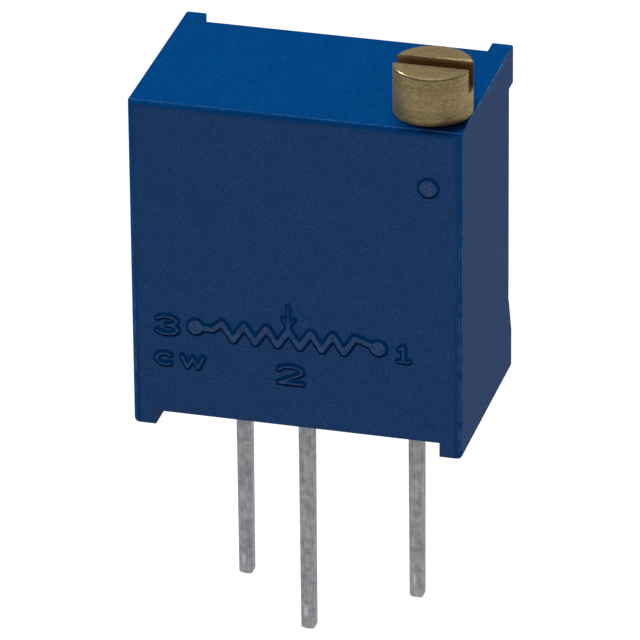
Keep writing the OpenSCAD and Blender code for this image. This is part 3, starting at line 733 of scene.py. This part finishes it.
def dull_tin():
    """Blotched tin with a bright oval near each tip. Its place is measured from the nearest
    multiple of the pitch, so all three pins have it at the same place."""
    made = drawn_metal("dull_tin", TIN, TIN_DULL, roughness=0.42, blotch=5.0)
    tree, shader, finish = reopened(made)
    x, _, z = add(tree, "ShaderNodeSeparateXYZ", {0: millimetres(tree)}).outputs
    nearest = math_node(tree, "SNAP", math_node(tree, "ADD", x, PIN_PITCH / 2), PIN_PITCH)
    across = math_node(tree, "SUBTRACT", math_node(tree, "SUBTRACT", x, nearest), SPOT_X)
    along = math_node(tree, "SUBTRACT", z, SPOT_Z)
    wide = math_node(tree, "POWER", math_node(tree, "DIVIDE", across, SPOT_WIDTH), 2.0)
    high = math_node(tree, "POWER", math_node(tree, "DIVIDE", along, SPOT_HEIGHT), 2.0)
    spot = math_node(tree, "SUBTRACT", 1.0, math_node(tree, "ADD", wide, high), clamp=True)
    wire(tree, shader, {"Base Color": mixed(tree, spot, finish.outputs["Colour"], TIN_PALE_SPOT)})
    return made


TIN_MATERIAL = dull_tin()
SOLDER_MATERIAL = drawn_metal("solder_grey", SOLDER_GREY, SOLDER_DULL, roughness=0.25)
for number in (1, 2, 3):
    pin = softened(f"terminal_pin_{number}", f"tinned_pin_{number}", PIN_BEVEL)
    dress(pin, "case", "tinned_pin", TIN_MATERIAL)
    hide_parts(f"terminal_pin_{number}")
    finish_node(f"solder_joint_{number}", SOLDER_MATERIAL)

# Epoxy
# Poured into the bottom opening around the pins, where it levels itself.
# It closes the housing and holds the pins.
EPOXY_BLUE = (0.01, 0.06, 0.17, 1)
finish_node("epoxy_seal", moulding("poured_epoxy", EPOXY_BLUE, roughness=0.25, specular=0.5,
                                   height=0.2, cloud=0.1))

# Studio
# A white floor at the pin tips, soft lamps overhead, in front and at both sides, and a low even
# sky. The floor is white for the camera and keeps a light shadow. Lamps are in metres and watts.
FLOOR_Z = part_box("terminal_pin_1")[0][2]
FLOOR_HALF = 1.2
FLOOR_SHADOW = (0.12, 0.12, 0.12, 1)
FLOOR_BOUNCE = (0.2, 0.2, 0.2, 1)
FLOOR_REFLECTED = 0.6
SKY_WHITE = (1, 1, 1, 1)
SKY_DIFFUSE, SKY_REFLECTED = 0.25, 0.2
CAMERA_TURN, CAMERA_TILT, CAMERA_ROLL = 15.23, 26.87, 0.56
CAMERA_DISTANCE = 217.6 * MM
CAMERA_SHIFT_X, CAMERA_SHIFT_Y = 5.245 * MM, 2.852 * MM
CAMERA_FOCAL_PIXELS = 7716
FRAME_PIXELS = 640
SENSOR = 36
FRONT_LEFT_FOOT = Vector((-BODY_HALF_WIDTH, BODY_FRONT, 0))


def white_floor():
    """Paper floor: a pale diffuse bounce for the object, a soft grey in its reflections, and
    white with a light shadow to look at."""
    made, tree, shader = new_material("white_floor")
    tree.nodes.remove(shader)
    rays = add(tree, "ShaderNodeLightPath").outputs
    looked_at = math_node(tree, "MAXIMUM", rays["Is Camera Ray"], rays["Is Transmission Ray"])
    bounce = add(tree, "ShaderNodeBsdfDiffuse", {"Color": FLOOR_BOUNCE}).outputs[0]
    reflected = add(tree, "ShaderNodeEmission", {"Strength": FLOOR_REFLECTED}).outputs[0]
    shadowed = add(tree, "ShaderNodeBsdfDiffuse", {"Color": FLOOR_SHADOW}).outputs[0]
    white = add(tree, "ShaderNodeEmission", {"Strength": 1.0}).outputs[0]
    look = add(tree, "ShaderNodeAddShader", {0: shadowed, 1: white}).outputs[0]
    unseen = add(tree, "ShaderNodeMixShader", {0: rays["Is Glossy Ray"], 1: bounce, 2: reflected})
    choice = add(tree, "ShaderNodeMixShader", {0: looked_at, 1: unseen.outputs[0], 2: look})
    wire(tree, tree.nodes["Material Output"], {"Surface": choice.outputs[0]})
    return made


def floor():
    """A large square floor."""
    mesh = bpy.data.meshes.new("floor")
    corners = [(-1, -1), (1, -1), (1, 1), (-1, 1)]
    points = [(x * FLOOR_HALF, y * FLOOR_HALF, FLOOR_Z) for x, y in corners]
    mesh.from_pydata(points, [], [(0, 1, 2, 3)])
    mesh.materials.append(white_floor())
    made = bpy.data.objects.new("floor", mesh)
    bpy.context.collection.objects.link(made)


def sky():
    """An even pale sky, white for the camera and dim in reflections."""
    world = bpy.data.worlds.new("sky")
    bpy.context.scene.world = world
    world.use_nodes = True
    tree = world.node_tree
    rays = add(tree, "ShaderNodeLightPath").outputs
    unseen = ranged(tree, rays["Is Glossy Ray"], (0.0, 1.0), (SKY_DIFFUSE, SKY_REFLECTED))
    strength = ranged(tree, rays["Is Camera Ray"], (0.0, 1.0), (unseen, 1.0))
    background = tree.nodes["Background"]
    background.inputs["Color"].default_value = SKY_WHITE
    wire(tree, background, {"Strength": strength})


def lamp(name, place, size, power):
    """A square soft lamp aimed at the middle of the body."""
    data = bpy.data.lights.new(name, "AREA")
    data.size = size
    data.energy = power
    made = bpy.data.objects.new(name, data)
    made.location = place
    aim = Vector((0, 0, BODY_TOP / 2)) - made.location
    made.rotation_euler = aim.to_track_quat("-Z", "Y").to_euler()
    bpy.context.collection.objects.link(made)


def camera():
    """A long lens, from a little right of the front and above, with a slight roll."""
    turn, tilt, roll = (math.radians(a) for a in (CAMERA_TURN, CAMERA_TILT, CAMERA_ROLL))
    across = Vector((math.cos(turn), math.sin(turn), 0))
    forward = Vector((-math.sin(turn) * math.cos(tilt), math.cos(turn) * math.cos(tilt),
                      -math.sin(tilt)))
    upward = across.cross(forward)
    right = math.cos(roll) * across - math.sin(roll) * upward
    up = math.sin(roll) * across + math.cos(roll) * upward
    data = bpy.data.cameras.new("camera")
    data.sensor_width = SENSOR
    data.lens = CAMERA_FOCAL_PIXELS / FRAME_PIXELS * SENSOR
    data.clip_start, data.clip_end = 0.01, 10
    made = bpy.data.objects.new("camera", data)
    turned = Matrix((right, up, -forward)).transposed().to_4x4()
    place = (FRONT_LEFT_FOOT + CAMERA_SHIFT_X * right + CAMERA_SHIFT_Y * up
             - CAMERA_DISTANCE * forward)
    made.matrix_world = Matrix.Translation(place) @ turned
    bpy.context.collection.objects.link(made)
    bpy.context.scene.camera = made


floor()
sky()
lamp("overhead_lamp", place=(-0.016, 0.04, 0.2), size=0.1, power=0.169)
lamp("front_lamp", place=(0.035, -0.135, 0.13), size=0.12, power=0.098)
lamp("right_lamp", place=(0.19, 0.08, 0.03), size=0.08, power=0.078)
lamp("left_lamp", place=(-0.236, 0.026, 0.153), size=0.07, power=0.3)
camera()
bpy.context.scene.view_settings.view_transform = "Standard"
